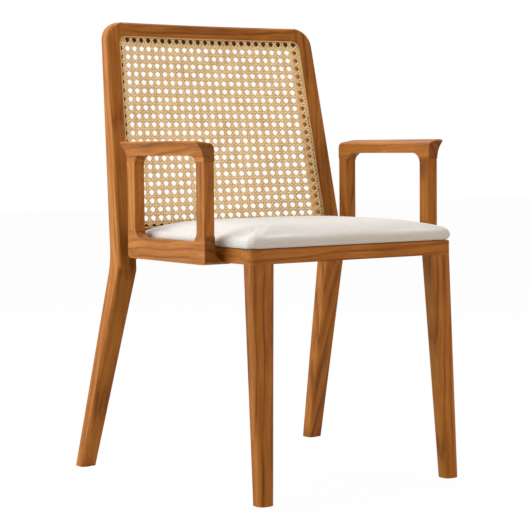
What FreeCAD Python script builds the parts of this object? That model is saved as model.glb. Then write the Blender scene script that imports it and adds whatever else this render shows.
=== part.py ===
"""A dining armchair: sawn wooden frame, bowed cane back, padded seat and two closed arm loops.

Frame: +X to the viewer's right seen from the front, the front faces -Y, +Z up. The origin is on the
floor, midway between the front feet's fronts and the rear feet's backs. All sizes in millimetres.
"""
import FreeCAD, Part
import math
import os

V = FreeCAD.Vector

# Whole chair
overall_height = 854.0
overall_depth = 541.0

# Rear legs, which run up into the stiles of the back
rear_foot_outset = 66.2
crest_outset = 15.0
rear_foot_width = 32.0
rear_foot_depth = 26.0
knee_depth = 33.0
rear_knee_rise = 16.0
stile_top_depth = 22.0
stile_top_width = 35.0
knee_height = 385.5
knee_radius = 120.0
rear_leg_kick = 112.2
back_lean = 10.0
crest_corner_radius = 38.0
seat_flat_margin = 9.0

# Seat frame
seat_frame_width = 444.0
seat_frame_top = 440.5
seat_rail_height = 26.0
seat_corner_radius = 9.0
seat_setback = 22.0
front_rail_depth = 36.0
side_rail_thickness = 24.0
rear_rail_thickness = 24.0

# Front legs
front_leg_top_width = 47.0
front_leg_top_depth = 31.0
front_leg_inner_round = 6.0
front_foot_size = 31.5
front_foot_round = 12.0
front_leg_splay = 10.0
front_leg_arcs = 10

# Back panel
back_bow = 18.0
crest_height = 40.0
crest_depth = 22.0
lower_back_top = 475.0
lower_back_height = 34.0
lower_back_depth = 20.0
cane_lap = 8.0
cane_crest_lap = 15.0
cane_lower_lap = 13.0
cane_corner_radius = 18.0
cane_recess = 1.5
cane_thickness = 1.6
cane_pitch = 28.0
cane_strand = 9.0
spline_width = 3.4
spline_depth = 5.0
crest_dowel_rise = 16.0
crest_dowel_spacing = 13.0
lower_dowel_spacing = 12.0

# Arm loops
arm_stand_off = 19.5
arm_toe_in = 6.2
arm_setback = 85.0
arm_rear_gap = 22.8
arm_post_width = 21.0
arm_post_depth = 27.5
arm_top_height = 626.5
arm_top_thickness = 26.0
arm_rail_rise = 9.5
arm_opening_radius = 20.0
arm_seam_drop = 11.0
arm_corner_radius = 9.0
arm_lip_reach = 15.5
arm_lip_thickness = 5.0
arm_top_fall = 4.0
arm_inner_round = 12.0
arm_hook_thickness = 3.0
arm_hook_reach = 15.0
arm_cove_radius = 27.0
arm_block_inset = 62.0

# Seat pad
pad_overhang = 6.0
pad_crown_height = 40.0
pad_back_gap = 2.0
pad_front_radius = 34.0
pad_back_radius = 45.0
pad_edge_height = 7.0
pad_edge_tuck = 4.0
pad_crown_width = 130.0
pad_fullness = 1.75
pad_steps = 3
cover_thickness = 1.2
cover_hem = 34.0
board_thickness = 9.0
board_inset = 9.0
board_skin = 2.0

# Joinery and hardware
wood_ease = 3.0
rail_ease = 1.5
dowel_radius = 4.0
thick_dowel_radius = 5.0
dowel_grip = 18.0
short_dowel_grip = 12.0
dowel_wall = 1.2
rail_dowel_spacing = 14.0
leg_dowel_spacing = 14.0
block_leg = 46.0
block_height = 24.0
block_screw_web = 13.0
block_screw_offset = 15.5
pad_screw_offset = 9.0
screw_shank_radius = 2.0
screw_head_radius = 4.0
screw_head_height = 2.5
arm_screw_radius = 3.0
arm_screw_head_radius = 6.0
arm_screw_head_height = 3.5
arm_screw_length = 56.0
arm_screw_inset = 30.0
glide_radius = 9.0
glide_height = 4.0
glide_reveal = 1.5
glide_pin_radius = 1.5
glide_pin_length = 12.0
glide_sides = 12

# Clearances
dowel_clearance = 0.1
screw_clearance = 0.1
groove_clearance = 0.15
soft_clearance = 0.3

# Derived places
lean = math.tan(math.radians(back_lean))
rail_bottom = seat_frame_top - seat_rail_height
seat_half = seat_frame_width / 2.0
rear_foot_spread = seat_frame_width + 2.0 * rear_foot_outset
crest_spread = seat_frame_width + 2.0 * crest_outset
seat_front = -overall_depth / 2.0 + seat_setback
foot_level = glide_reveal
rear_foot_back = overall_depth / 2.0
rear_foot_front = rear_foot_back - rear_foot_depth
knee_y = rear_foot_front - rear_leg_kick
flat_bottom = rail_bottom - seat_flat_margin
flat_top = seat_frame_top + seat_flat_margin
stile_top_inner = crest_spread / 2.0 - stile_top_width
front_rail_back = seat_front + front_rail_depth
side_rail_inner = seat_half - side_rail_thickness
crest_bottom = overall_height - crest_height
lower_back_bottom = lower_back_top - lower_back_height
cane_bottom = lower_back_top - cane_lower_lap
cane_top = crest_bottom + cane_crest_lap
groove_depth = cane_recess + spline_depth + groove_clearance
arm_inner = seat_half + arm_stand_off
arm_front = seat_front + arm_setback
arm_back = knee_y - arm_rear_gap
arm_length = arm_back - arm_front
arm_bottom = rail_bottom - arm_hook_thickness
arm_opening_top = arm_top_height - arm_top_thickness
arm_opening_bottom = seat_frame_top + arm_rail_rise
arm_upper_seam = arm_opening_top - arm_seam_drop
arm_lower_seam = arm_opening_bottom + arm_seam_drop
pad_bottom = seat_frame_top + soft_clearance
rail_middle = (rail_bottom + seat_frame_top) / 2.0
far = 2.0 * overall_height
near = 1.0
point_tolerance = 1e-6
mostly = math.sqrt(0.8)


# Helpers for wires and solids
def in_front_view(a, b):
    return V(a, 0.0, b)


def in_side_view(a, b):
    return V(0.0, a, b)


def in_plan(level):
    return lambda a, b: V(a, b, level)


def outline(corners, place, arcs=1):
    """Closed wire through (a, b, round) corners, each rounded by that many arcs where round is above zero."""
    points = [V(a, b, 0.0) for a, b, _ in corners]
    count = len(corners)
    stops = []
    for i, here in enumerate(points):
        to_before = (points[i - 1] - here).normalize()
        to_after = (points[(i + 1) % count] - here).normalize()
        half_angle = to_before.getAngle(to_after) / 2.0
        radius = corners[i][2]
        reach = radius / math.tan(half_angle)
        middle = here
        if radius > 0.0:
            middle = here + (to_before + to_after).normalize() * (radius / math.sin(half_angle) - radius)
        start, end = here + to_before * reach, here + to_after * reach
        stops.append((start, middle, end))
    edges = []
    for i, (start, middle, end) in enumerate(stops):
        if corners[i][2] > 0.0:
            curve = Part.Arc(start, middle, end)
            first, span = curve.FirstParameter, curve.LastParameter - curve.FirstParameter
            marks = [curve.value(first + span * step / (2.0 * arcs)) for step in range(2 * arcs + 1)]
            marks = [place(mark.x, mark.y) for mark in marks]
            for k in range(0, 2 * arcs, 2):
                edges.append(Part.Arc(marks[k], marks[k + 1], marks[k + 2]).toShape())
        after = stops[(i + 1) % count][0]
        if not after.isEqual(end, point_tolerance):
            edges.append(Part.makeLine(place(end.x, end.y), place(after.x, after.y)))
    return Part.Wire(edges)


def sharp(points):
    return [(a, b, 0.0) for a, b in points]


def prism(wire, direction):
    return Part.Face(wire).extrude(direction)


def across_y(corners):
    """A front-view outline drawn right through the chair along Y."""
    solid = prism(outline(corners, in_front_view), V(0, 2.0 * far, 0))
    return solid.translated(V(0, -far, 0))


def box(x0, x1, y0, y1, z0, z1):
    return Part.makeBox(x1 - x0, y1 - y0, z1 - z0, V(x0, y0, z0))


def rounded_box(x0, x1, y0, y1, front_round, back_round):
    return [(x0, y0, front_round), (x1, y0, front_round), (x1, y1, back_round), (x0, y1, back_round)]


def rod(start, direction, length, radius, sides=8):
    """A straight pin with a few flat sides, whose corners lie on `radius`."""
    across = V(direction.y, direction.z, direction.x) * radius
    turn = FreeCAD.Rotation(direction, 360.0 / sides)
    corners = [start + across]
    for _ in range(sides):
        corners.append(start + turn.multVec(corners[-1] - start))
    return prism(Part.makePolygon(corners[:sides] + corners[:1]), direction * length)


def tapered(sections):
    """A solid through matching outlines, flat between straight edges and ruled between arcs."""
    faces = [Part.Face(sections[0]), Part.Face(sections[-1])]
    for below, above in zip(sections, sections[1:]):
        for low, high in zip(below.Edges, above.Edges):
            if low.Curve.TypeId == "Part::GeomLine":
                ends = [low.valueAt(low.FirstParameter), low.valueAt(low.LastParameter),
                        high.valueAt(high.LastParameter), high.valueAt(high.FirstParameter)]
                faces.append(Part.Face(Part.makePolygon(ends + ends[:1])))
            else:
                faces.append(Part.makeRuledSurface(low, high))
    shell = Part.Shell(faces)
    shell.sewShape()
    solid = Part.Solid(shell)
    return solid if solid.Volume > 0.0 else solid.reversed()


def mirrored(shape):
    return shape.mirror(V(0, 0, 0), V(1, 0, 0))


def both_sides(shapes):
    return shapes + [mirrored(shape) for shape in shapes]


def eased(shape, size, chosen):
    """Takes the corner off every edge whose middle point and direction there pass the test."""
    edges = []
    for edge in shape.Edges:
        middle = (edge.FirstParameter + edge.LastParameter) / 2.0
        if chosen(edge.valueAt(middle), edge.tangentAt(middle)):
            edges.append(edge)
    return shape.makeChamfer(size, edges)


def runs_along(direction):
    """True for an edge that follows a leg's length or turns with its top corner."""
    return abs(direction.y) < mostly and abs(direction.x) < mostly


def blend(a, b, share):
    return a + (b - a) * share


# Lines that the back is drawn on
def outer_x(z):
    return blend(rear_foot_spread, crest_spread, z / overall_height) / 2.0


def inner_x(z):
    return blend(seat_half, stile_top_inner, (z - flat_top) / (overall_height - flat_top))


def stile_front(z):
    return knee_y + (z - knee_height) * lean


def bow_at(x, z):
    """About how far the back lies behind the stiles' front plane."""
    half = inner_x(z)
    return back_bow * (half - x * x / half) / seat_half


# The cone that the back is bent round, with its tip where the stiles' inner edges would meet
tip_height = flat_top + (overall_height - flat_top) * seat_half / (seat_half - stile_top_inner)
tip = V(0, stile_front(tip_height), tip_height)
middle_line = (V(0, stile_front(flat_top) + back_bow, flat_top) - tip).normalize()
side_line = (V(seat_half, stile_front(flat_top), flat_top) - tip).normalize()
cone_axis = V(0, middle_line.z - side_line.z, side_line.y - middle_line.y).normalize()
cone_angle = cone_axis.getAngle(middle_line)
cone_back = V(0, -cone_axis.z, cone_axis.y)
side_turn = math.asin(side_line.x / math.sin(cone_angle))


def cone_tip(offset):
    """Tip of the cone that lies `offset` behind the one through the stiles' front edges."""
    return tip - cone_axis * (offset / math.sin(cone_angle))


def cone_line(turn):
    """Direction of the line down the back that is turned by `turn` from its middle."""
    outward = cone_back * math.cos(turn) + V(math.sin(turn), 0, 0)
    return cone_axis * math.cos(cone_angle) + outward * math.sin(cone_angle)


def before_back(offset):
    """All the room in front of the bowed surface that lies `offset` behind the stiles' front edges."""
    cone = Part.makeCone(0.0, tip_height * math.tan(cone_angle), tip_height, cone_tip(offset), cone_axis)
    return cone.common(box(-far, far, 0.0, far, -far, far))


def before_stile():
    """All the room in front of the plane that carries the bow on over the right stile."""
    outward = cone_back * math.cos(side_turn) + V(math.sin(side_turn), 0, 0)
    behind = outward * math.cos(cone_angle) - cone_axis * math.sin(cone_angle)
    across = behind.cross(side_line) * far
    down = side_line * (2.0 * tip_height)
    corners = [tip - across, tip + across, tip + across + down, tip - across + down]
    return prism(Part.makePolygon(corners + corners[:1]), behind * -far)


def bowed_slab(z_low, z_high, front, thickness):
    """A rail that follows the back's bow and lean, starting `front` behind the stiles' front edges."""
    level = box(-far, far, 0.0, far, z_low, z_high)
    return level.common(before_back(front + thickness)).cut(before_back(front))


def back_silhouette():
    """Front view of the two rear legs and the crest together, with rounded top corners."""
    right = [
        (outer_x(0.0), 0.0, 0.0),
        (outer_x(overall_height), overall_height, crest_corner_radius),
    ]
    return across_y(right + [(-x, z, radius) for x, z, radius in reversed(right)])


def between_stiles():
    """The room between the two rear legs from the seat frame up."""
    right = [(seat_half, rail_bottom), (seat_half, flat_top), (stile_top_inner, overall_height)]
    return across_y(sharp(right + [(-x, z) for x, z in reversed(right)]))


def cane_outline(inset):
    """The edge of the cane in front view, drawn in by `inset`."""
    low, high = cane_bottom + inset, cane_top - inset
    half_low = inner_x(low) + cane_lap - inset
    half_high = inner_x(high) + cane_lap - inset
    radius = cane_corner_radius - inset
    right = [(half_low, low, radius), (half_high, high, radius)]
    return right + [(-x, z, radius) for x, z, radius in reversed(right)]


def back_seat_cutter():
    """What is cut from the back's frame for the cane's rabbet and the spline's groove."""
    within = across_y(cane_outline(-groove_clearance))
    ring = within.cut(across_y(cane_outline(spline_width + groove_clearance)))
    rabbet = within.common(before_back(cane_recess + cane_thickness))
    return rabbet.fuse(ring.common(before_back(groove_depth)))


# Dowels, each bored into the two pieces that it joins
def dowel_pair(centre, direction, radius, grip):
    """A dowel and its bore, half its length on each side of `centre`."""
    start = centre - direction * grip
    pin = rod(start, direction, 2.0 * grip, radius)
    end_room = direction * dowel_clearance
    bore = rod(start - end_room, direction, 2.0 * (grip + dowel_clearance), radius + dowel_clearance)
    return pin, bore


def dowel_set(centres, direction, radius, grip):
    pairs = [dowel_pair(centre, direction, radius, grip) for centre in centres]
    return [pair[0] for pair in pairs], [pair[1] for pair in pairs]


def bored(shape, cutters):
    return shape.cut(cutters) if cutters else shape


def back_dowels(level, spacing, grip):
    """Two dowels from a back rail into the right stile, behind the spline's groove."""
    centres = []
    for z in (level - spacing / 2.0, level + spacing / 2.0):
        behind_groove = groove_depth + bow_at(inner_x(z) - grip, z)
        centres.append(V(inner_x(z), stile_front(z) + behind_groove + dowel_wall + dowel_radius, z))
    return dowel_set(centres, V(1, 0, 0), dowel_radius, grip)


crest_pins, crest_bores = back_dowels(crest_bottom + crest_dowel_rise, crest_dowel_spacing, short_dowel_grip)
lower_middle = (lower_back_bottom + lower_back_top) / 2.0
lower_pins, lower_bores = back_dowels(lower_middle, lower_dowel_spacing, dowel_grip)

rear_rail_front = knee_y + (seat_frame_top - knee_height) * lean
rear_rail_back = rear_rail_front + rear_rail_thickness
leg_dowel_y = rear_rail_back - dowel_wall - dowel_radius
leg_pins, leg_bores = dowel_set(
    [V(seat_half, leg_dowel_y, rail_middle + s * rail_dowel_spacing / 2.0) for s in (-1, 1)],
    V(1, 0, 0), dowel_radius, dowel_grip)

side_rail_centre = (side_rail_inner + seat_half) / 2.0
frame_pins, frame_bores = dowel_set(
    [V(side_rail_centre, y, rail_middle + s * rail_dowel_spacing / 2.0)
     for y in (front_rail_back, rear_rail_front) for s in (-1, 1)],
    V(0, 1, 0), dowel_radius, short_dowel_grip)

front_leg_x = seat_half - front_leg_top_width / 2.0
front_leg_y = seat_front + front_leg_top_depth / 2.0
front_pins, front_bores = dowel_set(
    [V(front_leg_x + s * leg_dowel_spacing / 2.0, front_leg_y, rail_bottom) for s in (-1, 1)],
    V(0, 0, 1), thick_dowel_radius, dowel_grip)


# Rear legs
def rear_leg():
    """The right rear leg, sawn to its two views from one board and hollowed with the back's bow."""
    kick = rear_leg_kick / knee_height
    turn_rise = back_bow / (kick + lean)
    top_front = stile_front(overall_height)
    side = outline([
        (rear_foot_front - kick * foot_level, foot_level, 0.0),
        (knee_y - kick * turn_rise, knee_height + turn_rise, 0.0),
        (top_front - back_bow, overall_height, 0.0),
        (top_front + stile_top_depth, overall_height, 0.0),
        (knee_y + knee_depth, knee_height + rear_knee_rise, knee_radius),
        (rear_foot_back, foot_level, 0.0),
    ], in_side_view)
    front = across_y(sharp([
        (outer_x(0.0) - rear_foot_width, foot_level), (far, foot_level), (far, overall_height),
        (inner_x(overall_height), overall_height), (seat_half, flat_top), (seat_half, flat_bottom),
    ])).common(back_silhouette())
    leg = prism(side, V(far, 0, 0)).common(front).cut(before_stile())

    leg = eased(leg, wood_ease, lambda p, along: runs_along(along) and p.x > leg_middle_x(p.z))
    lower = leg.common(box(-far, far, -far, far, -far, flat_bottom))
    upper = leg.common(box(-far, far, -far, far, flat_bottom, far))
    lower = eased(lower, wood_ease, lambda p, along: runs_along(along) and p.x < leg_middle_x(p.z))
    return lower.fuse(upper).removeSplitter()


def leg_middle_x(z):
    """A line up the middle of the right leg, between its inner and outer edges."""
    if z > flat_top:
        inner = inner_x(z)
    elif z > flat_bottom:
        inner = seat_half
    else:
        inner = blend(outer_x(0.0) - rear_foot_width, seat_half, z / flat_bottom)
    return (outer_x(z) + inner) / 2.0


def foot_centres():
    """Middle of the right rear and right front foot on the floor."""
    rear = V(outer_x(0.0) - rear_foot_width / 2.0, (rear_foot_front + rear_foot_back) / 2.0, 0.0)
    front = V(front_leg_x + front_leg_splay, -overall_depth / 2.0 + front_foot_size / 2.0, 0.0)
    return [rear, front]


def glide(centre, room):
    disc = rod(centre, V(0, 0, 1), glide_height + room, glide_radius + room, glide_sides)
    pin = rod(centre + V(0, 0, glide_height), V(0, 0, 1), glide_pin_length + room, glide_pin_radius + room)
    return disc.fuse(pin)


# Front legs
def front_leg():
    """The right front leg, tapering from a top flush with the rail to a round foot."""
    inner = seat_half - front_leg_top_width
    back = seat_front + front_leg_top_depth
    top = outline([
        (inner, seat_front, front_leg_inner_round),
        (seat_half, seat_front, seat_corner_radius),
        (seat_half, back, front_leg_inner_round),
        (inner, back, front_leg_inner_round),
    ], in_plan(rail_bottom), front_leg_arcs)
    foot = foot_centres()[1]
    half = front_foot_size / 2.0
    bottom = outline([
        (foot.x - half, foot.y - half, front_foot_round),
        (foot.x + half, foot.y - half, front_foot_round),
        (foot.x + half, foot.y + half, front_foot_round),
        (foot.x - half, foot.y + half, front_foot_round),
    ], in_plan(foot_level), front_leg_arcs)
    return tapered([bottom, top])


# Seat frame
def front_rail():
    corners = rounded_box(-seat_half, seat_half, seat_front, front_rail_back, seat_corner_radius, 0.0)
    rail = prism(outline(corners, in_plan(rail_bottom)), V(0, 0, seat_rail_height))
    on_top = seat_frame_top - near
    return eased(rail, rail_ease, lambda p, along: p.z > on_top and p.y < front_rail_back - near)


def side_rail():
    return box(side_rail_inner, seat_half, front_rail_back, rear_rail_front, rail_bottom, seat_frame_top)


def rear_rail():
    return box(-seat_half, seat_half, rear_rail_front, rear_rail_back, rail_bottom, seat_frame_top)


# Corner blocks, with the screws that hold them and the pad
def corner_block(y, inward):
    """The right block in the corner at `y`, where `inward` is +1 at the front and -1 at the back."""
    corner = sharp([
        (side_rail_inner, y), (side_rail_inner - block_leg, y), (side_rail_inner, y + inward * block_leg),
    ])
    return prism(outline(corner, in_plan(seat_frame_top - block_height)), V(0, 0, block_height))


def wood_screw(tip, direction, length):
    """A screw and what is bored for it, with a well that opens on the block's long face."""
    head_at = tip - direction * length
    shank = rod(head_at, direction, length, screw_shank_radius)
    head = rod(head_at - direction * screw_head_height, direction, screw_head_height, screw_head_radius)
    bore = rod(head_at, direction, length + screw_clearance, screw_shank_radius + screw_clearance)
    well = rod(head_at - direction * block_leg, direction, block_leg, screw_head_radius + screw_clearance)
    return shank.fuse(head), bore.fuse(well)


def block_screws(y, inward):
    """Two screws of one block: one into the cross rail and one into the side rail."""
    length = block_screw_web + dowel_grip
    cross_tip = V(side_rail_inner - block_screw_offset, y - inward * dowel_grip, rail_middle)
    side_tip = V(side_rail_inner + dowel_grip, y + inward * block_screw_offset, rail_middle)
    return [wood_screw(cross_tip, V(0, -inward, 0), length), wood_screw(side_tip, V(1, 0, 0), length)]


def pad_screw(y, inward):
    """A screw up through the block into the pad's board."""
    x, y = side_rail_inner - pad_screw_offset, y + inward * pad_screw_offset
    top = pad_bottom + cover_thickness + board_thickness - board_skin
    bottom = seat_frame_top - block_height
    seat = bottom + screw_head_height
    up = V(0, 0, 1)
    shank = rod(V(x, y, seat), up, top - seat, screw_shank_radius)
    head = rod(V(x, y, bottom), up, screw_head_height, screw_head_radius)
    bore = rod(V(x, y, seat), up, top - seat + screw_clearance, screw_shank_radius + screw_clearance)
    well = rod(V(x, y, bottom), up, screw_head_height, screw_head_radius + screw_clearance)
    return shank.fuse(head), bore.fuse(well)


# Arm loops
arm_turn = math.degrees(math.atan2(arm_toe_in, arm_length))


def arm_placed(shape):
    """Puts a loop piece, drawn with its inner front corner at X = 0, Y = 0, beside the seat."""
    shape = shape.copy()
    shape.rotate(V(0, 0, 0), V(0, 0, 1), arm_turn)
    shape.translate(V(arm_inner, arm_front, 0))
    return shape


def arm_ring():
    """The loop in side view, as wide as its widest piece, with its opening cut out."""
    outer = outline([
        (0.0, arm_bottom, arm_corner_radius),
        (arm_length, arm_bottom, arm_corner_radius),
        (arm_length, arm_top_height, arm_corner_radius),
        (0.0, arm_top_height, arm_corner_radius),
    ], in_side_view)
    opening = outline([
        (arm_post_depth, arm_opening_bottom, arm_opening_radius),
        (arm_length - arm_post_depth, arm_opening_bottom, arm_opening_radius),
        (arm_length - arm_post_depth, arm_opening_top, arm_opening_radius),
        (arm_post_depth, arm_opening_top, arm_opening_radius),
    ], in_side_view)
    across = V(4.0 * seat_half, 0, 0)
    ring = prism(outer, across).cut(prism(opening, across))
    return ring.translated(V(-2.0 * seat_half, 0, 0))


def arm_rest_profile():
    """Front view of the arm rest: rounded inside, rising to a thin lip that flares outwards."""
    lip_x = arm_post_width + arm_lip_reach
    inner_top = arm_top_height - arm_top_fall
    lip_under = arm_top_height - arm_lip_thickness
    flare = arm_lip_reach - arm_lip_thickness / 2.0
    rise = lip_under - arm_upper_seam
    sweep = (flare * flare + rise * rise) / (2.0 * flare)
    half_turn = math.asin(rise / sweep) / 2.0
    seam_out = in_front_view(arm_post_width, arm_upper_seam)
    cove = in_front_view(arm_post_width + sweep * (1.0 - math.cos(half_turn)),
                         arm_upper_seam + sweep * math.sin(half_turn))
    lip_in = in_front_view(arm_post_width + flare, lip_under)
    lip_out = in_front_view(lip_x, arm_top_height - arm_lip_thickness / 2.0)
    lip_top = in_front_view(lip_x - arm_lip_thickness / 2.0, arm_top_height)
    shoulder = in_front_view(arm_inner_round, inner_top)
    bevel = arm_inner_round * (1.0 - math.sqrt(0.5))
    turn = in_front_view(bevel, inner_top - bevel)
    inner = in_front_view(0.0, inner_top - arm_inner_round)
    seam_in = in_front_view(0.0, arm_upper_seam)
    return Part.Wire([
        Part.makeLine(seam_in, seam_out),
        Part.Arc(seam_out, cove, lip_in).toShape(),
        Part.Arc(lip_in, lip_out, lip_top).toShape(),
        Part.makeLine(lip_top, shoulder),
        Part.Arc(shoulder, turn, inner).toShape(),
        Part.makeLine(inner, seam_in),
    ])


def arm_rest(ring):
    return prism(arm_rest_profile(), V(0, arm_length, 0)).common(ring)


def arm_post(ring, front):
    start = 0.0 if front else arm_length / 2.0
    slab = box(0.0, arm_post_width, start, start + arm_length / 2.0, arm_lower_seam, arm_upper_seam)
    post = ring.common(slab)
    face = 0.0 if front else arm_length
    return eased(post, rail_ease, lambda p, along: abs(along.z) > mostly and abs(p.y - face) < near)


def arm_lower_profile():
    """Front view of the loop's bottom: a bar whose inner side sweeps in under the seat rail."""
    hook = seat_half - arm_inner - arm_hook_reach
    cove_top = rail_bottom + arm_cove_radius
    bevel = arm_cove_radius * (1.0 - math.sqrt(0.5))
    points = [
        (hook, arm_bottom), (arm_post_width, arm_bottom), (arm_post_width, arm_lower_seam),
        (0.0, arm_lower_seam), (0.0, cove_top),
    ]
    edges = [Part.makeLine(in_front_view(*a), in_front_view(*b)) for a, b in zip(points, points[1:])]
    cove_end = in_front_view(-arm_cove_radius, rail_bottom)
    cove_middle = in_front_view(-bevel, rail_bottom + bevel)
    edges.append(Part.Arc(in_front_view(0.0, cove_top), cove_middle, cove_end).toShape())
    edges.append(Part.makeLine(cove_end, in_front_view(hook, rail_bottom)))
    edges.append(Part.makeLine(in_front_view(hook, rail_bottom), in_front_view(hook, arm_bottom)))
    return Part.Wire(edges)


def arm_lower_rail(ring):
    bar = prism(arm_lower_profile(), V(0, arm_length, 0))
    reach = arm_inner - seat_half + arm_hook_reach
    block_end = arm_length - arm_block_inset
    block = box(-reach, arm_post_width / 2.0, arm_block_inset, block_end, arm_bottom, seat_frame_top)
    bar = arm_placed(bar.fuse(block).common(ring))
    return bar.cut(box(-far, seat_half, -far, far, rail_bottom, far)).removeSplitter()


def arm_dowels():
    centres = []
    for y in (arm_post_depth / 2.0, arm_length - arm_post_depth / 2.0):
        for z in (arm_lower_seam, arm_upper_seam):
            centres.append(V(arm_post_width / 2.0, y, z))
    pins, bores = dowel_set(centres, V(0, 0, 1), dowel_radius, dowel_grip)
    return [arm_placed(pin) for pin in pins], [arm_placed(bore) for bore in bores]


def arm_screw(y):
    """A screw from inside the side rail into the loop's bottom rail, and its bore."""
    head_at = V(side_rail_inner, y, rail_middle)
    shank = rod(head_at, V(1, 0, 0), arm_screw_length, arm_screw_radius)
    head_end = head_at - V(arm_screw_head_height, 0, 0)
    head = rod(head_end, V(1, 0, 0), arm_screw_head_height, arm_screw_head_radius)
    bore = rod(head_at, V(1, 0, 0), arm_screw_length + screw_clearance, arm_screw_radius + screw_clearance)
    return shank.fuse(head), bore


# Seat pad
pad_front = seat_front - pad_overhang
pad_back = stile_front(seat_frame_top) - pad_back_gap
pad_half = seat_half + pad_overhang


def pad_section(level, inset):
    """The pad's edge in plan, drawn in by `inset`, with corners that fit what is left."""
    room = (pad_back - pad_front) / 2.0 - inset
    front_round = min(pad_front_radius, room * mostly)
    back_round = min(pad_back_radius, room * mostly)
    corners = rounded_box(-pad_half + inset, pad_half - inset, pad_front + inset, pad_back - inset,
                          front_round, back_round)
    return outline(corners, in_plan(level))


def pad_loft(skin):
    """The pad's outer form drawn in by `skin`: drawn-in lower edge, bulging side and crowned top."""
    top = pad_bottom + pad_crown_height - skin
    low = pad_bottom + skin
    edge = pad_bottom + pad_edge_height
    rise = top - edge
    sections = [pad_section(low, skin + pad_edge_tuck), pad_section(edge, skin)]
    for step in range(1, pad_steps + 1):
        height = math.sin(math.radians(90.0 * step / pad_steps))
        inset = pad_crown_width * (1.0 - math.sqrt(1.0 - min(1.0, height ** pad_fullness)))
        sections.append(pad_section(edge + height * rise, skin + inset))
    return tapered(sections)


def seat_board():
    low = pad_bottom + cover_thickness
    return prism(pad_section(low, board_inset), V(0, 0, board_thickness))


def under_pad_opening(level, thickness, room):
    return prism(pad_section(level, cover_hem + room), V(0, 0, thickness))


# Cane sheet and the reed round it
def cane_gap(x, z, wide, tall):
    """Corners of one octagonal gap of the weave."""
    a, b = wide / 2.0, tall / 2.0
    cut_a, cut_b = wide / (2.0 + math.sqrt(2.0)), tall / (2.0 + math.sqrt(2.0))
    right = [(a, b - cut_b), (a - cut_a, b)]
    quarter_turns = [(1, 1, False), (-1, 1, True), (-1, -1, False), (1, -1, True)]
    corners = []
    for sx, sz, back in quarter_turns:
        pair = reversed(right) if back else right
        corners += [(x + sx * dx, z + sz * dz) for dx, dz in pair]
    return corners


def cane_strip(left, right, levels, tall):
    """One flat strip of the cane between two lines down the back, with its column of gaps."""
    top = cone_tip(cane_recess)
    left_line, right_line = cone_line(left), cone_line(right)
    normal = left_line.cross(right_line)

    def on_strip(x, z):
        return V(x, top.y - (normal.x * (x - top.x) + normal.z * (z - top.z)) / normal.y, z)

    def ends(z):
        return left_line.x / left_line.z * (z - top.z), right_line.x / right_line.z * (z - top.z)

    low, high = lower_back_bottom, overall_height
    edge = [(ends(low)[0], low), (ends(low)[1], low), (ends(high)[1], high), (ends(high)[0], high)]
    wires = [outline(sharp(edge), on_strip)]
    for z in levels:
        start, stop = ends(z)
        gap = cane_gap((start + stop) / 2.0, z, stop - start - cane_strand, tall)
        wires.append(outline(sharp(gap), on_strip))
    return Part.makeFace(wires, "Part::FaceMakerBullseye").extrude(V(0, cane_thickness, 0))


def cane_panel():
    """The bowed sheet, one flat strip for each column of gaps, trimmed inside the spline."""
    inset = spline_width + 2.0 * groove_clearance
    columns = int(seat_frame_width / cane_pitch)
    rows = int((cane_top - cane_bottom - 2.0 * inset) / cane_pitch)
    pitch = (cane_top - cane_bottom - 2.0 * inset) / rows
    levels = [cane_bottom + inset + (row + 0.5) * pitch for row in range(rows)]
    trim = across_y(cane_outline(inset))
    turn = 2.0 * side_turn / columns
    strips = []
    for column in range(-1, columns + 1):
        left = column * turn - side_turn
        gaps = levels if 0 <= column < columns else []
        strips.append(cane_strip(left, left + turn, gaps, pitch - cane_strand).common(trim))
    return strips[0].fuse(strips[1:])


def cane_spline():
    ring = across_y(cane_outline(0.0)).cut(across_y(cane_outline(spline_width)))
    return ring.common(bowed_slab(lower_back_bottom, overall_height, cane_recess, spline_depth))


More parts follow.
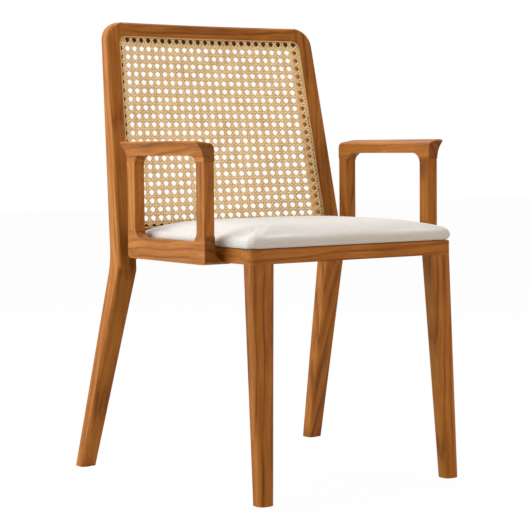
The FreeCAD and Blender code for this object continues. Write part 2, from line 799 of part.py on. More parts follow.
# Assembly
def build():
    nodes = {}
    seat_cutter = back_seat_cutter()
    feet = foot_centres()

    leg_cuts = crest_bores + lower_bores + leg_bores + [glide(feet[0], groove_clearance)]
    nodes["rear_leg_right"] = bored(rear_leg().cut(seat_cutter), leg_cuts)

    crest = bowed_slab(crest_bottom, overall_height, 0.0, crest_depth)
    crest = crest.common(between_stiles()).common(back_silhouette())
    on_top = crest_bottom + near
    crest = eased(crest, wood_ease, lambda p, along: p.z > on_top and abs(along.x) > abs(along.z))
    nodes["crest_rail"] = bored(crest.cut(seat_cutter), both_sides(crest_bores))

    lower = bowed_slab(lower_back_bottom, lower_back_top, 0.0, lower_back_depth)
    lower = lower.common(between_stiles())
    nodes["lower_back_rail"] = bored(lower.cut(seat_cutter), both_sides(lower_bores))

    nodes["cane_panel"] = cane_panel()
    nodes["cane_spline"] = cane_spline()

    corners = [(front_rail_back, 1.0), (rear_rail_front, -1.0)]
    block_pairs = [pair for y, inward in corners for pair in block_screws(y, inward)]
    pad_pairs = [pad_screw(y, inward) for y, inward in corners]
    screw_bores = [pair[1] for pair in block_pairs]
    pad_bores = [pair[1] for pair in pad_pairs]
    blocks = [bored(corner_block(y, inward), screw_bores + pad_bores) for y, inward in corners]
    frame_cuts = frame_bores + screw_bores

    nodes["seat_front_rail"] = bored(front_rail(), both_sides(frame_cuts + front_bores))
    nodes["seat_rear_rail"] = bored(rear_rail(), both_sides(frame_cuts + leg_bores))

    inset = arm_block_inset + arm_screw_inset
    arm_screw_pairs = [arm_screw(y) for y in (arm_front + inset, arm_back - inset)]
    arm_screw_bores = [pair[1] for pair in arm_screw_pairs]
    nodes["seat_side_rail_right"] = bored(side_rail(), frame_cuts + arm_screw_bores)
    nodes["front_leg_right"] = bored(front_leg(), front_bores + [glide(feet[1], groove_clearance)])

    ring = arm_ring()
    arm_pins, arm_bores = arm_dowels()
    nodes["arm_top_right"] = bored(arm_placed(arm_rest(ring)), arm_bores)
    nodes["arm_front_post_right"] = bored(arm_placed(arm_post(ring, True)), arm_bores)
    nodes["arm_rear_post_right"] = bored(arm_placed(arm_post(ring, False)), arm_bores)
    nodes["arm_lower_rail_right"] = bored(arm_lower_rail(ring), arm_bores + arm_screw_bores)

    board = seat_board()
    inside = pad_loft(cover_thickness)
    nodes["seat_board"] = bored(board, both_sides(pad_bores))
    board_top = pad_bottom + cover_thickness + board_thickness
    above_board = box(-far, far, -far, far, board_top, far)
    nodes["seat_foam"] = pad_loft(cover_thickness + soft_clearance).common(above_board)
    opening = under_pad_opening(pad_bottom, cover_thickness, 0.0)
    nodes["seat_cover"] = pad_loft(0.0).cut([inside, opening] + both_sides(pad_bores))
    dust = under_pad_opening(pad_bottom, cover_thickness, soft_clearance)
    nodes["dust_cover"] = bored(dust, both_sides(pad_bores))

    for name in [name for name in nodes if name.endswith("_right")]:
        nodes[name.replace("_right", "_left")] = mirrored(nodes[name])

    groups = {
        "corner_blocks": blocks,
        "corner_block_screws": [pair[0] for pair in block_pairs],
        "seat_screws": [pair[0] for pair in pad_pairs],
        "arm_screws": [pair[0] for pair in arm_screw_pairs],
        "arm_dowels": arm_pins,
        "crest_dowels": crest_pins,
        "lower_back_dowels": lower_pins,
        "seat_frame_dowels": frame_pins,
        "rear_leg_dowels": leg_pins,
        "front_leg_dowels": front_pins,
        "floor_glides": [glide(foot, 0.0) for foot in feet],
    }
    for name, shapes in groups.items():
        nodes[name] = Part.makeCompound(both_sides(shapes))
    return nodes


os.makedirs("parts", exist_ok=True)
for node, shape in build().items():
    shape.exportStep("parts/" + node + ".step")
    print(node, len(shape.Solids), "solids", round(shape.Volume / 1000.0, 1), "cm3")
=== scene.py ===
# %% [markdown]
# # A dining armchair with a cane back
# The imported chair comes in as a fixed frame: every wooden piece already has its true shape and place.
# This lesson dresses it. It finishes the wood, weaves the cane, fills the cushion, and sets the chair in
# soft studio light in front of a camera that stands where the photographer stood.

# %% Load the chair
import math
import bpy
import bmesh
from mathutils import Matrix, Vector


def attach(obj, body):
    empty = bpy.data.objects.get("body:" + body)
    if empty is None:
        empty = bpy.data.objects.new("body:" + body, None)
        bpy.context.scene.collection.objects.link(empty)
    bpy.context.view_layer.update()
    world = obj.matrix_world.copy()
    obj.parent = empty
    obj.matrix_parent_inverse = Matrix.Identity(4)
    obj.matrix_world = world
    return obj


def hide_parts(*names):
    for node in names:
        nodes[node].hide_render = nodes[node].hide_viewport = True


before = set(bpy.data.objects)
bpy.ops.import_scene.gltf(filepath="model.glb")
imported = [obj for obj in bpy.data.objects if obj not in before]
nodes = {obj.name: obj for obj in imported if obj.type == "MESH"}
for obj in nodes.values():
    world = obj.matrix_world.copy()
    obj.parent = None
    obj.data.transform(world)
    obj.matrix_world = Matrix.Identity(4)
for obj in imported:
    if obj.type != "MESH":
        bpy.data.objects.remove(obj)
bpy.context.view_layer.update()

mm = 0.001
print("pieces that came in:", len(nodes))

# %% [markdown]
# ## Camera
# The chair is seen from its front left corner, from about the height of its arms, through a long lens:
# edges that run away from us hardly draw together. A camera is a position and three directions, so both are
# written down from two angles, and a very small roll, instead of being pushed about by hand.

# %% Camera
view_turn = math.radians(-34.78)
view_rise = math.radians(4.05)
view_roll = math.radians(-0.50)
view_target = Vector((-22.3, 0.0, 391.6)) * mm
view_distance = 3.207
photo_width = 531
focal_pixels = 1703.0
sensor_width = 36.0


def add_camera():
    data = bpy.data.cameras.new("studio_camera")
    data.sensor_width = sensor_width
    data.lens = focal_pixels / photo_width * sensor_width
    camera = bpy.data.objects.new("studio_camera", data)
    bpy.context.collection.objects.link(camera)
    towards = Vector((math.sin(view_turn) * math.cos(view_rise),
                      -math.cos(view_turn) * math.cos(view_rise), math.sin(view_rise)))
    right = Vector((math.cos(view_turn), math.sin(view_turn), 0.0))
    up = towards.cross(right)
    rolled_right = right * math.cos(view_roll) + up * math.sin(view_roll)
    rolled_up = up * math.cos(view_roll) - right * math.sin(view_roll)
    turn = Matrix((rolled_right, rolled_up, towards)).transposed()
    camera.matrix_world = Matrix.Translation(view_target + towards * view_distance) @ turn.to_4x4()
    bpy.context.scene.camera = camera
    return camera


camera = add_camera()
print("lens", round(camera.data.lens, 1), "mm")

# %% [markdown]
# ## Shader maths
# A finish is a small recipe of numbers that change over the surface. Writing it as nodes one by one hides
# the recipe, so one class wraps a socket and lets plain Python sums build the Math nodes, and one method
# adds any other node from its type, its settings and its inputs.

# %% Shader maths
class Value:
    """A socket that carries a number, for use in sums."""

    def __init__(self, finish, socket):
        self.finish = finish
        self.socket = socket

    def combine(self, operation, other, swapped=False):
        pair = [other, self] if swapped else [self, other]
        return self.finish.node("ShaderNodeMath", {"operation": operation}, {0: pair[0], 1: pair[1]})

    def __add__(self, other):
        return self.combine("ADD", other)

    def __radd__(self, other):
        return self.combine("ADD", other, True)

    def __sub__(self, other):
        return self.combine("SUBTRACT", other)

    def __rsub__(self, other):
        return self.combine("SUBTRACT", other, True)

    def __mul__(self, other):
        return self.combine("MULTIPLY", other)

    def __rmul__(self, other):
        return self.combine("MULTIPLY", other, True)

    def __truediv__(self, other):
        return self.combine("DIVIDE", other)

    def __pow__(self, other):
        return self.combine("POWER", other)

    def sine(self):
        return self.combine("SINE", 0.0)


class Finish:
    """The node tree of a material or of the world, under construction."""

    def __init__(self, owner):
        owner.use_nodes = True
        self.owner = owner
        self.tree = owner.node_tree
        self.tree.nodes.clear()

    def node(self, kind, settings=None, inputs=None, output=0):
        made = self.tree.nodes.new(kind)
        for name, value in (settings or {}).items():
            if name == "stops":
                self.set_stops(made.color_ramp, value)
            else:
                setattr(made, name, value)
        for name, value in (inputs or {}).items():
            socket = made.inputs[name]
            if isinstance(value, Value):
                self.tree.links.new(value.socket, socket)
            else:
                socket.default_value = value
        return Value(self, made.outputs[output])

    def set_stops(self, ramp, stops):
        while len(ramp.elements) < len(stops):
            ramp.elements.new(0.5)
        for element, (place, colour) in zip(ramp.elements, stops):
            element.position = place
            element.color = (*colour, 1.0)

    def place(self):
        return self.node("ShaderNodeTexCoord", output="Object")

    def stretched(self, place, scale):
        return self.node("ShaderNodeVectorMath", {"operation": "MULTIPLY"}, {0: place, 1: scale})

    def noise(self, place, scale, detail=2.0, output=0):
        """Soft noise whose features are 1 / scale metres long on each axis."""
        return self.node("ShaderNodeTexNoise", {}, {"Vector": self.stretched(place, scale), "Scale": 1.0,
                                                    "Detail": detail}, output)

    def axes(self, place):
        made = self.tree.nodes.new("ShaderNodeSeparateXYZ")
        self.tree.links.new(place.socket, made.inputs[0])
        return [Value(self, socket) for socket in made.outputs]

    def between(self, value, low, high):
        """Spreads low..high over 0..1 and stops there."""
        return self.node("ShaderNodeMapRange", {"clamp": True},
                         {"Value": value, "From Min": low, "From Max": high, "To Min": 0.0, "To Max": 1.0})

    def ramp(self, value, stops):
        return self.node("ShaderNodeValToRGB", {"stops": stops}, {"Fac": value})

    def mixed(self, share, first, second):
        return self.node("ShaderNodeMix", {"data_type": "RGBA"},
                         {0: share, 6: colour(first), 7: colour(second)}, 2)

    def bump(self, height, distance):
        return self.node("ShaderNodeBump", {}, {"Strength": 1.0, "Distance": distance, "Height": height})

    def end(self, shader, kind="ShaderNodeOutputMaterial"):
        """Ends the recipe and gives back what it is for."""
        made = self.tree.nodes.new(kind)
        self.tree.links.new(shader.socket, made.inputs["Surface"])
        return self.owner

    def surface(self, sockets):
        return self.end(self.node("ShaderNodeBsdfPrincipled", {}, sockets))


def colour(value):
    return value if isinstance(value, Value) else (*value, 1.0)


def new_finish(name):
    return Finish(bpy.data.materials.new(name))


print("shader maths ready")

# %% [markdown]
# ## Studio
# The photograph has a white ground and broad light from the left: faces that look left are pale, with a soft
# sheen, and those that look forwards are about half as bright. One very large lamp low on the left, a little
# behind the chair, makes that difference and leaves no hard shadow. A soft one overhead, also a little
# behind, brightens the seat and lets its front roll into shade. A weak warm one in front opens the shadows,
# and the world fills the rest. The ground turns white only for the camera, so it throws no extra light on the
# chair, and it still takes the chair's shadow.

# %% Studio
white = (1.0, 1.0, 1.0)
warm_white = (1.0, 0.75, 0.52)
# Each lamp: place seen from the middle of the chair, size across, power in watts and colour.
lamps = {
    "key_lamp": ((-2.27, 1.08, 0.9), 2.7, 84.0, white),
    "top_lamp": ((0.2, 0.9, 2.5), 2.4, 66.0, white),
    "fill_lamp": ((0.9, -2.9, 0.45), 1.7, 28.5, warm_white),
}
world_light = 0.41
floor_half = 12.0
floor_glow = 0.97
floor_tone, floor_tone_seen = 0.55, 0.95


def add_lamp(name, offset, size, power, tint):
    position = view_target + Vector(offset)
    data = bpy.data.lights.new(name, "AREA")
    data.color = tint
    data.shape = "DISK"
    data.size = size
    data.energy = power
    lamp = bpy.data.objects.new(name, data)
    lamp.location = position
    lamp.rotation_euler = (view_target - position).to_track_quat("-Z", "Y").to_euler()
    bpy.context.collection.objects.link(lamp)


def seen_directly(finish):
    """1 for what the camera sees, straight or by a mirror ray, 0 for light that lands on the chair."""
    rays = [finish.node("ShaderNodeLightPath", output=name) for name in
            ("Is Camera Ray", "Is Glossy Ray", "Is Transmission Ray")]
    return finish.between(rays[0] + rays[1] + rays[2], 0.0, 1.0)


def white_world():
    finish = Finish(bpy.data.worlds.new("studio_world"))
    strength = seen_directly(finish) * (1.0 - world_light) + world_light
    light = finish.node("ShaderNodeBackground", {}, {"Color": colour(white), "Strength": strength})
    bpy.context.scene.world = finish.end(light, "ShaderNodeOutputWorld")


def new_piece(name, form):
    """Makes an object of a form that is still being edited."""
    mesh = bpy.data.meshes.new(name)
    form.to_mesh(mesh)
    form.free()
    piece = bpy.data.objects.new(name, mesh)
    bpy.context.collection.objects.link(piece)
    return piece


def white_floor():
    finish = new_finish("studio_floor")
    seen = seen_directly(finish)
    tone = finish.mixed(seen, (floor_tone,) * 3, (floor_tone_seen,) * 3)
    diffuse = finish.node("ShaderNodeBsdfDiffuse", {}, {"Color": tone})
    glow = finish.node("ShaderNodeEmission", {}, {"Color": colour(white), "Strength": 1.0})
    shown = finish.node("ShaderNodeMixShader", {}, {0: seen * floor_glow, 1: diffuse, 2: glow})
    sheet = bmesh.new()
    bmesh.ops.create_grid(sheet, x_segments=1, y_segments=1, size=floor_half)
    floor = new_piece("studio_floor", sheet)
    floor.data.materials.append(finish.end(shown))


bpy.context.scene.view_settings.view_transform = "Standard"
white_world()
white_floor()
for name, lamp in lamps.items():
    add_lamp(name, *lamp)
print("lamps:", list(lamps))

# %% [markdown]
# ## The bow of the back
# Stiles, rails and cane share one curved surface, so it is written down once. It could be a plain arc pushed
# straight back, but the stiles draw together upwards, so the back is bent round a cone whose tip lies far
# above the chair, where the lines of the two stiles would meet.

# %% The bowed surface of the back
lean = math.tan(math.radians(10.0))
knee_level, knee_front = 0.3855, 0.1323
seat_level, seat_half = 0.4495, 0.222
top_level, top_half = 0.854, 0.202
bow = 0.018


def stile_front(z):
    return knee_front + (z - knee_level) * lean


tip_level = seat_level + (top_level - seat_level) * seat_half / (seat_half - top_half)
tip = Vector((0.0, stile_front(tip_level), tip_level))
middle_line = (Vector((0.0, stile_front(seat_level) + bow, seat_level)) - tip).normalized()
side_line = (Vector((seat_half, stile_front(seat_level), seat_level)) - tip).normalized()
cone_axis = Vector((0.0, middle_line.z - side_line.z, side_line.y - middle_line.y)).normalized()
cone_angle = cone_axis.angle(middle_line)
cone_back = Vector((0.0, -cone_axis.z, cone_axis.y))
side_turn = math.asin(side_line.x / math.sin(cone_angle))


def on_back(across, z, behind):
    """Point of the back: `across` is -1 at the left stile and 1 at the right one."""
    outward = cone_back * math.cos(across * side_turn) + Vector((math.sin(across * side_turn), 0.0, 0.0))
    line = cone_axis * math.cos(cone_angle) + outward * math.sin(cone_angle)
    start = tip - cone_axis * (behind / math.sin(cone_angle))
    return start + line * ((z - start.z) / line.z)


def half_width(z):
    return seat_half + (top_half - seat_half) * (z - seat_level) / (top_level - seat_level)


print("middle of the back at arm height:", [round(v, 4) for v in on_back(0.0, 0.62, 0.0)])

# %% [markdown]
# ## Wood
# The frame is a warm, mid-brown hardwood with a satin finish. Fine streaks and pores run along each piece,
# and growth rings that the saw met at a slant make the slow flame figure on the flat faces. An image of
# wood would stretch round the curved pieces. Noise in space doesn't: the rings are circles round a pith
# line somewhere outside the piece, bent a little, so every face shows the right cut of the same board.

# %% Wood colours and grain
wood_dark = (0.160, 0.046, 0.005)
wood_mid = (0.330, 0.111, 0.013)
wood_light = (0.450, 0.178, 0.030)
grain_turn = {"X": (1.0, 91.2, 0.0), "Y": (93.0, 2.0, 0.0), "Z": (3.0, -2.5, 0.0)}
pith = (0.273, 0.217)
ring_spacing = 0.017
ring_bend = 16.0
ring_sharpness = 4.0
grain_sway = 0.022
# How many features come to a metre: twice across the grain, then along it.
sway_scale = (11.0, 11.0, 5.0)
bend_scale = (6.0, 6.0, 1.3)
board_scale = (9.0, 9.0, 1.6)
figure_scale = (34.0, 34.0, 11.0)
streak_scale = (140.0, 140.0, 2.4)
fibre_scale = (520.0, 520.0, 9.0)
pore_scale = (1000.0, 1000.0, 30.0)
pore_low, pore_high = 0.60, 0.72
fine_bump = 0.05 * mm
satin_roughness, satin_specular = 0.40, 0.14
print("grain runs along:", list(grain_turn))

# %% [markdown]
# Three places need a mask, worked out from where a point lies on the chair. The rabbet that the cane lies in
# gets painted shade, so that it looks dark through the outermost holes. The sawn ends of the arm loops drink
# more finish than their sides. And a rear leg's grain bends with its knee, so its points are moved onto one
# straight line before the grain is drawn.

# %% Masks for the wood
# The painted shade in the rabbet: its band beside the cane, and how far behind the cane it fades out.
rabbet_width = 8.2 * mm
rabbet_low, rabbet_high = 461.8 * mm, 829.2 * mm
rabbet_front, rabbet_floor = 1.4 * mm, 2.2 * mm
shade_fades, shade_ends = 7.0 * mm, 15.0 * mm
soft_edge = 0.2 * mm
arm_front, arm_length = -163.5 * mm, 273.1 * mm
arm_inner, arm_toe = 241.5 * mm, 0.0227
hook_reach, hook_fade = 18.3 * mm, 1.0 * mm
end_depth, end_fade = 0.5 * mm, 1.1 * mm
leg_kick, leg_foot = 0.291, 0.2445
leg_cut = 0.75
knee_blend = 20.0 * mm


def painted_rabbet_shade(wood):
    """1 where shade is painted in the rabbet behind the cane's edge, fading out on the walls behind it."""
    x, y, z = wood.axes(wood.place())
    rise = (z - seat_level) / (top_level - seat_level)
    half = rise * (top_half - seat_half) + seat_half
    front = z * lean + stile_front(0.0) + (half - x * x / half) * (bow / seat_half)
    across = (x * x) ** 0.5 - half
    shallow = wood.between(y - front, rabbet_front, rabbet_floor)
    deep = wood.between(y - front, shade_fades, shade_ends)
    beside = wood.between(across, rabbet_width - soft_edge, rabbet_width + 2.0 * soft_edge)
    above = wood.between(z, rabbet_high - soft_edge, rabbet_high + 2.0 * soft_edge)
    below = wood.between(z, rabbet_low - 2.0 * soft_edge, rabbet_low + soft_edge)
    return shallow * (1.0 - deep) * (1.0 - beside) * (1.0 - above) * below


def end_grain(wood):
    """1 on the sawn ends of the arm loops, but not on the seat rails beside them."""
    x, y, _ = wood.axes(wood.place())
    outward = (x * x) ** 0.5 - arm_inner
    along = y - arm_front - outward * arm_toe
    from_middle = ((along - arm_length / 2.0) ** 2.0) ** 0.5
    end = arm_length / 2.0 - end_depth
    at_end = wood.between(from_middle, end - end_fade, end)
    return at_end * wood.between(outward, -hook_reach - hook_fade, -hook_reach)


def along_leg(wood):
    """Place on a rear leg, straightened so that its knee lies on one line."""
    x, y, z = wood.axes(wood.place())
    upper = z * lean + stile_front(0.0)
    lower = z * -leg_kick + leg_foot
    line = wood.node("ShaderNodeMath", {"operation": "SMOOTH_MAX"}, {0: upper, 1: lower, 2: knee_blend})
    return wood.node("ShaderNodeCombineXYZ", {}, {0: x, 1: y - line, 2: z + leg_cut})


print("masks: rabbet", round(rabbet_low, 4), "to", round(rabbet_high, 4), "m; arm ends; knee")

# %% [markdown]
# One recipe serves all the wood. The grain sways a little, then noise stretched along it gives the streaks,
# fibres and pores, and their sum picks a tone between dark and light. Pieces differ only in the way their
# grain runs, and in the masks they need.

# %% Wood finish
end_stain = (0.085, 0.022, 0.003)
# Painted shade: a near-black for the rabbet behind the cane's edge, where shade falls through the holes.
rabbet_shade_colour = (0.030, 0.011, 0.004)
end_stain_share, rabbet_shade_share, pore_share = 0.5, 0.85, 0.38


def wood_finish(name, along, rabbet_shaded=False, kneed=False):
    wood = new_finish(name)
    turn = [math.radians(angle) for angle in grain_turn[along]]
    place = along_leg(wood) if kneed else wood.place()
    straight = wood.node("ShaderNodeMapping", {}, {"Vector": place, "Rotation": turn})
    sway = wood.noise(straight, sway_scale, 1.0, "Color")
    grain = wood.node("ShaderNodeVectorMath", {"operation": "MULTIPLY_ADD"},
                      {0: sway, 1: (grain_sway, grain_sway, 0.0), 2: straight})
    x, y, _ = wood.axes(grain)
    bend = wood.noise(grain, bend_scale)
    board = wood.noise(grain, board_scale)
    figure = wood.noise(grain, figure_scale, 3.0)
    radius = ((x + pith[0]) ** 2.0 + (y + pith[1]) ** 2.0) ** 0.5
    wave = (radius * (2.0 * math.pi / ring_spacing) + bend * ring_bend).sine()
    rings = (wave * 0.5 + 0.5) ** ring_sharpness
    streak = wood.noise(grain, streak_scale, 4.0)
    fibre = wood.noise(grain, fibre_scale, 3.0)
    pore = wood.between(wood.noise(grain, pore_scale, 1.0), pore_low, pore_high)
    tone = streak * 0.85 + fibre * 0.48 + board * 0.42 + figure * 0.55 - rings * 0.25 - 0.595
    shade = wood.ramp(tone, [(0.15, wood_dark), (0.50, wood_mid), (0.86, wood_light)])
    shade = wood.mixed(pore * pore_share, shade, wood_dark)
    if along == "Y":
        shade = wood.mixed(end_grain(wood) * end_stain_share, shade, end_stain)
    # Painted shade in the rabbet under the cane's edge, seen through the outermost holes.
    if rabbet_shaded:
        shade = wood.mixed(painted_rabbet_shade(wood) * rabbet_shade_share, shade, rabbet_shade_colour)
    return wood.surface({"Base Color": shade, "Roughness": streak * 0.16 + pore * 0.15 + satin_roughness,
                         "Normal": wood.bump(fibre * 0.5 - pore, fine_bump),
                         "Specular IOR Level": satin_specular})


wood_along = {axis: wood_finish("satin_wood_" + axis.lower(), axis) for axis in "XYZ"}
# The back's pieces also carry the painted shade in the rabbet under the cane.
back_wood = {axis: wood_finish("back_wood_" + axis.lower(), axis, True, axis == "Z") for axis in "XZ"}
print("wood finishes:", len(wood_along) + len(back_wood))

# %% [markdown]
# A real edge is never knife-sharp: sandpaper takes it off, and the round catches a thin line of light. The
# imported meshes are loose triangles, so modifiers join them, flatten what is flat, round the edges and even
# out the shading. The meshes themselves stay as they came.

# %% Dress the frame
weld_reach = 0.02 * mm
flat_angle = math.radians(1.0)
sharp_angle = math.radians(24.0)
sanded_edge = 1.4 * mm
back_pieces = ["crest_rail", "lower_back_rail", "rear_leg_left", "rear_leg_right"]
wood_pieces = {
    "X": ["crest_rail", "lower_back_rail", "seat_front_rail", "seat_rear_rail"],
    "Y": ["seat_side_rail_left", "seat_side_rail_right", "arm_top_left", "arm_top_right",
          "arm_lower_rail_left", "arm_lower_rail_right"],
    "Z": ["rear_leg_left", "rear_leg_right", "front_leg_left", "front_leg_right",
          "arm_front_post_left", "arm_front_post_right", "arm_rear_post_left", "arm_rear_post_right"],
}


def dress(name, material):
    for slot in nodes[name].material_slots:
        slot.material = material


def smooth_shading():
    """One step for a modifier that shades every face smooth."""
    tree = bpy.data.node_groups.new("smooth_shading", "GeometryNodeTree")
    for way in ("INPUT", "OUTPUT"):
        tree.interface.new_socket("Geometry", in_out=way, socket_type="NodeSocketGeometry")
    steps = [tree.nodes.new(kind) for kind in
             ("NodeGroupInput", "GeometryNodeSetShadeSmooth", "NodeGroupOutput")]
    for first, second in zip(steps, steps[1:]):
        tree.links.new(first.outputs[0], second.inputs[0])
    return tree


smooth_step = smooth_shading()


def soften(name, width):
    """Joins the loose triangles of a piece, then rounds its edges as sandpaper would."""
    piece = nodes[name]
    weld = piece.modifiers.new("join", "WELD")
    weld.merge_threshold = weld_reach
    flat = piece.modifiers.new("flatten", "DECIMATE")
    flat.decimate_type = "DISSOLVE"
    flat.angle_limit = flat_angle
    round_edges = piece.modifiers.new("sand", "BEVEL")
    round_edges.width = width
    round_edges.segments = 2
    round_edges.limit_method = "ANGLE"
    round_edges.angle_limit = sharp_angle
    round_edges.use_clamp_overlap = True
    shade = piece.modifiers.new("smooth", "NODES")
    shade.node_group = smooth_step
    even = piece.modifiers.new("even_light", "WEIGHTED_NORMAL")
    even.keep_sharp = True


for axis, names in wood_pieces.items():
    for name in names:
        dress(name, (back_wood if name in back_pieces else wood_along)[axis])
        soften(name, sanded_edge)
print("wooden pieces finished:", sum(len(names) for names in wood_pieces.values()))

# %% [markdown]
# ## Cane
# The back is filled with the six-way cane of classic chairs: upright strands in pairs, level strands in
# pairs, and two sets of diagonals, which leave rows of eight-sided holes. It could be a flat texture with
# holes, but the strands are what catches the light, so each one is a thin strip, laid on the bowed back
# and lifted over or pushed under whatever it crosses.
#
# The weave is drawn on a grid whose whole numbers are the middles of the holes, so a strand is a straight
# line on that grid. Pairs run halfway between the holes. The diagonals run halfway between them too, which
# is why they never cross a hole.

# %% Weave grid
hole_across, hole_start = 0.083, -0.027
hole_rise, hole_level = 16.15 * mm, 481.5 * mm
cane_depth = 2.2 * mm
sheet_low, sheet_high = 465.9 * mm, 825.1 * mm
sheet_margin = 4.1 * mm
sheet_corner = 14.3 * mm


def grid_size(j):
    """Width and height of one step of the grid in metres."""
    return hole_across * half_width(hole_level + j * hole_rise), hole_rise


def on_weave(i, j, lift):
    return on_back(hole_start + i * hole_across, hole_level + j * hole_rise, cane_depth - lift)


def inside_sheet(i, j):
    """True inside the sheet's edge, whose corners are round."""
    z = hole_level + j * hole_rise
    half = half_width(z)
    x = abs(hole_start + i * hole_across) * half
    side = half + sheet_margin - x
    end = min(z - sheet_low, sheet_high - z)
    if side < sheet_corner and end < sheet_corner:
        return math.hypot(sheet_corner - side, sheet_corner - end) < sheet_corner
    return side > 0.0 and end > 0.0


print("grid step in metres:", [round(v, 4) for v in grid_size(0)])

# %% [markdown]
# A strand is a flat strip, a little crowned. It is made as a plain grid, and every point of that grid is then
# carried to its place along the strand, so one function lays uprights, levels and diagonals alike. It needs
# points only where the strand bends, which keeps the whole sheet light.

# %% One strand
strand_width = 2.8 * mm
strand_thickness = 0.55 * mm
strand_crown = 0.16 * mm
search_steps = 600
fewest_steps = 12


def stops_between(first, last, phases):
    """Every place on the way from first to last whose fraction is one of the phases."""
    stops = [first]
    for whole in range(math.floor(first), math.ceil(last) + 1):
        stops += [whole + phase for phase in phases if first < whole + phase < last]
    return stops + [last]


def lay_strand(weave, line, low, high, phases, lift):
    """Adds one strand along line(t), from the first t to the last t that lie inside the sheet."""
    tries = [low + (high - low) * step / search_steps for step in range(search_steps + 1)]
    kept = [t for t in tries if inside_sheet(*line(t))]
    if len(kept) < fewest_steps:
        return 0
    stops = stops_between(kept[0], kept[-1], phases)
    made = bmesh.ops.create_grid(weave, x_segments=len(stops) - 1, y_segments=2, size=1.0)
    for corner in made["verts"]:
        t = stops[round((corner.co.x + 1.0) / 2.0 * (len(stops) - 1))]
        side = corner.co.y
        i, j = line(t)
        wide, tall = grid_size(j)
        ahead_i, ahead_j = line(t + 1.0)
        along = Vector(((ahead_i - i) * wide, (ahead_j - j) * tall)).normalized()
        shift = side * strand_width / 2.0
        height = lift(t) + strand_crown * (1.0 - abs(side))
        corner.co = on_weave(i - along.y * shift / wide, j + along.x * shift / tall, height)
    return 1


def finish_strands(name, weave):
    """Gives the strips their thickness and makes them one piece of the chair."""
    bmesh.ops.recalc_face_normals(weave, faces=weave.faces)
    piece = new_piece(name, weave)
    piece.data.shade_smooth()
    thick = piece.modifiers.new("thickness", "SOLIDIFY")
    thick.thickness = strand_thickness
    thick.offset = 0.0
    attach(piece, "root")
    return piece


print("strand", round(strand_width / mm, 2), "by", round(strand_thickness / mm, 2), "mm")

# %% [markdown]
# Now the weaving itself. Uprights and levels run in pairs and change places at each crossing, one up and
# one down. The two sets of diagonals go over one pair and under the next, in opposite step.

# %% Lay the strands
first_column, last_column = -14, 14
first_row, last_row = -3, 22
middle_level = 0.64
pair_offset = 1.9 * mm
pair_lift = 0.42 * mm
pair_step = 0.1
pair_phases = (0.0, 0.2, 0.4, 0.5, 0.6, 0.8)
diagonal_lift = 0.78 * mm
diagonal_slope = 12.0
diagonal_phases = (1.0 / 6.0, 1.0 / 3.0, 2.0 / 3.0, 5.0 / 6.0)


def pair_wave(phase):
    """Height of an upright or level strand: down before the middle of a crossing and up after it."""
    if abs(phase) <= pair_step:
        return phase / pair_step
    share = (abs(phase) - pair_step) / (1.0 - 2.0 * pair_step)
    return math.copysign(math.cos(math.pi * share), phase)


def from_half(value):
    """How far a grid number is from the nearest half, between -0.5 and 0.5."""
    return value - math.floor(value) - 0.5


def diagonal_wave(t):
    """Over at every hole's column and under between them, with short slopes."""
    far = abs(t - round(t))
    return max(-1.0, min(1.0, (0.25 - far) * diagonal_slope))


uprights = bmesh.new()
levels = bmesh.new()
diagonals = bmesh.new()
count = 0
for side in (-1.0, 1.0):
    for column in range(first_column, last_column + 1):
        shift = side * pair_offset / (hole_across * half_width(middle_level))
        count += lay_strand(uprights, lambda t: (column + 0.5 + shift, t), first_row, last_row, pair_phases,
                            lambda t: side * pair_lift * pair_wave(from_half(t)))
    for row in range(first_row, last_row + 1):
        shift = side * pair_offset / hole_rise
        count += lay_strand(levels, lambda t: (t, row + 0.5 + shift), first_column, last_column, pair_phases,
                            lambda t: -side * pair_lift * pair_wave(from_half(t)))
for start in range(first_column - last_row, last_column - first_row + 1):
    count += lay_strand(diagonals, lambda t: (t, t - start - 0.5), first_column, last_column, diagonal_phases,
                        lambda t: diagonal_lift * diagonal_wave(t))
for start in range(first_column + first_row, last_column + last_row + 1):
    count += lay_strand(diagonals, lambda t: (t, start + 0.5 - t), first_column, last_column, diagonal_phases,
                        lambda t: -diagonal_lift * diagonal_wave(t))
print("strands laid:", count)

# %% [markdown]
# Cane is the skin of the rattan palm: glossy, golden, a little greener or redder from strand to strand. The
# reed that wedges the sheet into its groove is the same plant's core, paler and duller.

# %% Cane finish
blotch_scale = (38.0, 38.0, 38.0)
speck_scale = (420.0, 420.0, 420.0)
cane_bump = 0.08 * mm
cane_specular = 0.3
reed_edge = 0.7 * mm


def cane_finish(name, dark, mid, light, gloss):
    cane = new_finish(name)
    place = cane.place()
    blotch = cane.noise(place, blotch_scale)
    speck = cane.noise(place, speck_scale)
    tone = blotch * 0.65 + speck * 0.95 - 0.30
    shade = cane.ramp(tone, [(0.18, dark), (0.52, mid), (0.85, light)])
    return cane.surface({"Base Color": shade, "Roughness": gloss + speck * 0.2,
                         "Normal": cane.bump(speck, cane_bump), "Specular IOR Level": cane_specular})


golden_cane = cane_finish("golden_cane", (0.68, 0.44, 0.19), (0.89, 0.655, 0.335), (0.95, 0.78, 0.49), 0.36)
pale_reed = cane_finish("pale_reed", (0.56, 0.31, 0.11), (0.74, 0.46, 0.20), (0.84, 0.58, 0.30), 0.42)
cane_pieces = [finish_strands(name, weave) for name, weave in
               (("cane_uprights", uprights), ("cane_levels", levels), ("cane_diagonals", diagonals))]
for piece in cane_pieces:
    piece.data.materials.append(golden_cane)
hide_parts("cane_panel")
dress("cane_spline", pale_reed)
soften("cane_spline", reed_edge)
print("cane faces:", [len(piece.data.polygons) for piece in cane_pieces])

